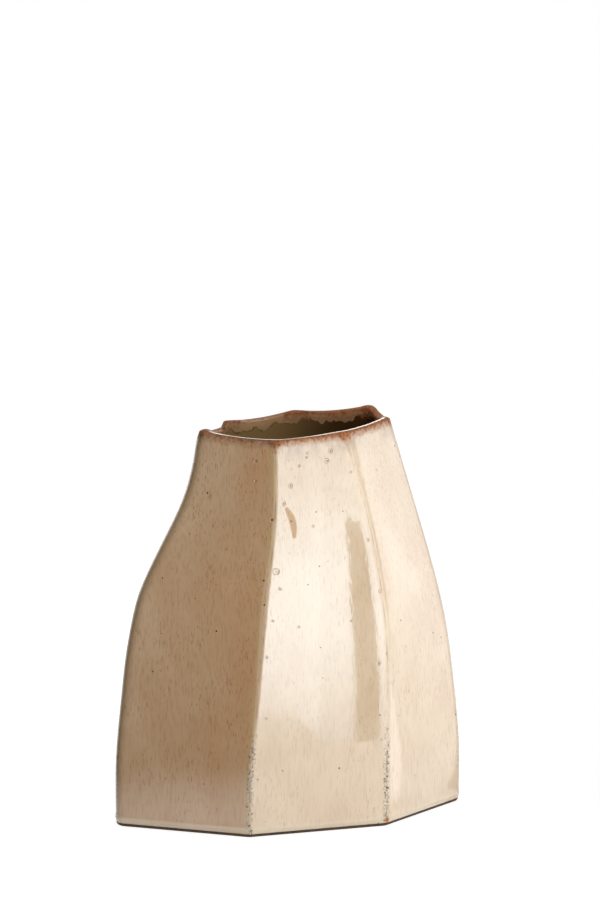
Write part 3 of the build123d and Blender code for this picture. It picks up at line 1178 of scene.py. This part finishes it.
@dataclass
class Studio:
    """White table top and surround, soft lamps in front, on the right, above and behind, and dark cards."""

    table_low: tuple = (-320.0, -520.0, 0.0)
    table_high: tuple = (160.0, 1200.0, 0.0)
    table_left_fade: tuple = (-200.0, -50.0)
    table_right_fade: tuple = (70.0, 100.0)
    table_step_across: tuple = (26.0, 40.0)
    table_front_gone: tuple = (-440.0, -250.0)
    table_front_full: tuple = (-290.0, -243.0)
    table_glow: float = 0.78
    table_mirrored_glow: float = 1.75
    table_white: float = 0.6
    surround: float = 0.1
    bank_distance: float = 1050.0
    bank_bottom: float = -260.0
    bank_top: float = 320.0
    bank_edges: tuple = (-140.0, 215.0, 285.0, 1000.0)
    bank_bridge: float = 135.0
    bank_glow: float = 6.1
    bank_edge_glow: float = 2.45
    bank_hot_spot: tuple = (140.0, 20.0)
    bank_reach: tuple = (640.0, 250.0)
    card_grey: float = 0.12
    card_behind: float = 40.0
    card_margin: float = 60.0
    left_card_low: tuple = (-900.0, -1300.0, -500.0)
    left_card_high: tuple = (-900.0, 900.0, 800.0)
    lamps: tuple = (
        Softbox("right_softbox", centre=(1050.0, -165.0, -30.0), facing=(-1.0, 0.0, 0.0), width=960.0, height=300.0,
                glow=2.7, edge_glow=1.5, hot_spot=(110.0, 85.0), reach=(420.0, 160.0), roll_degrees=43.6,
                tint=COOL_WHITE),
        Softbox("corner_softbox", centre=(1060.0, -760.0, 0.0), facing=(-1.0, 0.35, 0.0), width=560.0,
                height=1100.0, glow=1.6, edge_glow=1.6),
        Softbox("key_softbox", centre=(130.0, -1100.0, 1000.0), facing=(-0.1, 0.75, -0.7), width=1000.0,
                height=900.0, glow=2.7, edge_glow=2.7, tint=WARM_WHITE),
        Softbox("rear_softbox", centre=(0.0, 1500.0, 500.0), facing=(0.0, -1.0, -0.25), width=1500.0,
                height=1000.0, glow=1.5, edge_glow=1.5),
        Softbox("overhead_softbox", centre=(-200.0, 500.0, 1900.0), facing=(0.05, -0.1, -1.0), width=2600.0,
                height=2600.0, glow=0.5, edge_glow=0.5),
    )

    def build_sheet(self, name: str, low: tuple, high: tuple, paint: bpy.types.Material) -> bpy.types.Object:
        """Makes a flat sheet of the studio.

        Args:
            name: Name of the sheet.
            low: Its lowest corner.
            high: Its highest corner.
            paint: Its material.

        Returns:
            The sheet, left out of the vase's frame.
        """
        shape = bmesh.new()
        bmesh.ops.create_grid(shape, x_segments=1, y_segments=1, size=0.5)
        span = Vector(high) - Vector(low)
        if not span.x:
            bmesh.ops.rotate(shape, verts=shape.verts, matrix=Matrix.Rotation(math.pi / 2, 3, "Y"))
        if not span.y:
            bmesh.ops.rotate(shape, verts=shape.verts, matrix=Matrix.Rotation(math.pi / 2, 3, "X"))
        bmesh.ops.scale(shape, vec=Vector([side or 1.0 for side in span]) * MM, verts=shape.verts)
        bmesh.ops.translate(shape, vec=(Vector(low) + span / 2) * MM, verts=shape.verts)
        mesh = bpy.data.meshes.new(name)
        shape.to_mesh(mesh)
        shape.free()
        sheet = bpy.data.objects.new(name, mesh)
        bpy.context.scene.collection.objects.link(sheet)
        sheet.data.materials.append(paint)
        return sheet

    def seen_directly(self, tree: bpy.types.NodeTree) -> bpy.types.NodeSocket:
        """Rays that show the white surround as white: from the camera, mirrored, or through glass."""
        camera = add_node(tree, "LightPath", take="Is Camera Ray")
        glossy = add_node(tree, "LightPath", take="Is Glossy Ray")
        through = add_node(tree, "LightPath", take="Is Transmission Ray")
        either = add_node(tree, "Math", {0: camera, 1: glossy}, operation="MAXIMUM")
        return add_node(tree, "Math", {0: either, 1: through}, operation="MAXIMUM")

    def table_paint(self) -> bpy.types.Material:
        """White matt table paint: mostly an even white, and the light that falls on it, so it keeps the shadow."""
        material, tree = new_material("white_matt_table_paint")
        lit = add_node(tree, "BsdfDiffuse", {"Color": (self.table_white,) * 3 + (1.0,)})
        glossy = add_node(tree, "LightPath", take="Is Glossy Ray")
        glow = add_node(tree, "MapRange",
                        {"Value": glossy, "To Min": self.table_glow, "To Max": self.table_mirrored_glow})
        even = add_node(tree, "Emission", {"Color": WHITE, "Strength": glow})
        white = add_node(tree, "AddShader", {0: even, 1: lit})
        shown = add_node(tree, "MixShader", {0: self.seen_directly(tree), 1: lit, 2: white})
        clear = add_node(tree, "BsdfTransparent")
        shown = add_node(tree, "MixShader", {0: self.table_fade(tree), 1: shown, 2: clear})
        add_node(tree, "OutputMaterial", {"Surface": shown})
        return material

    def table_fade(self, tree: bpy.types.NodeTree) -> bpy.types.NodeSocket:
        """How far the table is faded out of its mirror image in the glaze, softly on the left and in front.

        Args:
            tree: The table paint's nodes.

        Returns:
            1 where a mirrored ray passes the table, 0 where the table is whole.
        """
        place = add_node(tree, "TexCoord", take="Object")
        place = add_node(tree, "VectorMath", {0: place, 1: (1 / MM,) * 3}, operation="MULTIPLY")
        across = add_node(tree, "SeparateXYZ", {"Vector": place}, take="X")
        along = add_node(tree, "SeparateXYZ", {"Vector": place}, take="Y")
        gone, full = (
            add_node(tree, "MapRange",
                     {"Value": across, "From Min": self.table_step_across[0], "From Max": self.table_step_across[1],
                      "To Min": ends[0], "To Max": ends[1]}, interpolation_type="SMOOTHSTEP")
            for ends in (self.table_front_gone, self.table_front_full)
        )
        left, right = (
            add_node(tree, "MapRange",
                     {"Value": across, "From Min": ends[0], "From Max": ends[1]}, interpolation_type="SMOOTHSTEP")
            for ends in (self.table_left_fade, self.table_right_fade[::-1])
        )
        front = add_node(tree, "MapRange", {"Value": along, "From Min": gone, "From Max": full},
                         interpolation_type="SMOOTHSTEP")
        sides = add_node(tree, "Math", {0: left, 1: right}, operation="MULTIPLY")
        there = add_node(tree, "Math", {0: sides, 1: front}, operation="MULTIPLY")
        missing = add_node(tree, "Math", {0: 1.0, 1: there}, operation="SUBTRACT")
        glossy = add_node(tree, "LightPath", take="Is Glossy Ray")
        return add_node(tree, "Math", {0: glossy, 1: missing}, operation="MULTIPLY")

    def card_paint(self) -> bpy.types.Material:
        """Dark grey card, which shows in the glaze where no lamp does."""
        material, tree = new_material("dark_grey_studio_card")
        shader = add_node(tree, "BsdfDiffuse", {"Color": (self.card_grey,) * 3 + (1.0,)})
        add_node(tree, "OutputMaterial", {"Surface": shader})
        return material

    def build_sheets(self) -> None:
        """Lays the table top and stands the dark cards: one on the left, one behind the gap in the front bank."""
        self.build_sheet("table_top", self.table_low, self.table_high, self.table_paint())
        card = self.card_paint()
        behind = -self.bank_distance - self.card_behind
        gap_low = (self.bank_edges[1] - self.card_margin, behind, self.bank_bottom)
        gap_high = (self.bank_edges[2] + self.card_margin, behind, self.bank_bridge + self.card_margin)
        for name, low, high in (
            ("gap_card", gap_low, gap_high),
            ("left_card", self.left_card_low, self.left_card_high),
        ):
            self.build_sheet(name, low, high, card).visible_camera = False

    def build_surround(self) -> None:
        """Sets the white surround, dim as a light of its own."""
        world = bpy.data.worlds.new("white_surround")
        world.use_nodes = True
        tree = world.node_tree
        tree.nodes.clear()
        shown = self.seen_directly(tree)
        strength = add_node(tree, "MapRange", {"Value": shown, "To Min": self.surround, "To Max": 1.0})
        sky = add_node(tree, "Background", {"Color": WHITE, "Strength": strength})
        add_node(tree, "OutputWorld", {"Surface": sky})
        bpy.context.scene.world = world

    def bank_lamp(self, name: str, left: float, right: float, bottom: float) -> Softbox:
        """One lamp of the front bank, which share a hot spot."""
        middle = ((left + right) / 2, -self.bank_distance, (bottom + self.bank_top) / 2)
        spot = (self.bank_hot_spot[0] - middle[0], self.bank_hot_spot[1] - middle[2])
        return Softbox(name, middle, (0.0, 1.0, 0.0), right - left, self.bank_top - bottom, self.bank_glow,
                       self.bank_edge_glow, spot, self.bank_reach, tint=COOL_WHITE)

    def build_lamps(self) -> None:
        """Hangs the lamps."""
        first, second, third, fourth = self.bank_edges
        for lamp in (
            self.bank_lamp("front_bank_left", first, second, self.bank_bottom),
            self.bank_lamp("front_bank_right", third, fourth, self.bank_bottom),
            self.bank_lamp("front_bank_bridge", second, third, self.bank_bridge),
            *self.lamps,
        ):
            lamp.build()

    def build(self) -> None:
        """Sets up the whole studio."""
        self.build_sheets()
        self.build_surround()
        self.build_lamps()
        bpy.context.scene.view_settings.view_transform = "Standard"


def main() -> None:
    """Builds the looks piece by piece and reports each."""
    logging.basicConfig(level=logging.INFO, format="%(message)s")
    camera = PhotoCamera()
    camera.build()
    Studio().build()
    coat = GlazeCoat(SlabForm(), clay=clay_surface())
    glazed = coat.build()
    coat.dress(glazed, CreamGlaze().material(camera.marks_on(coat.surface)))
    log.info("glaze coat: %d faces", len(glazed.data.polygons))
    finishes = {kind: clay.material() for kind, clay in CLAYS.items()}
    for name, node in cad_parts.items():
        kind = ClayKind.of(name)
        node.data.materials.clear()
        node.data.materials.append(finishes[kind])
        log.info("%s: %s", name, finishes[kind].name)


if __name__ == "__main__":
    main()
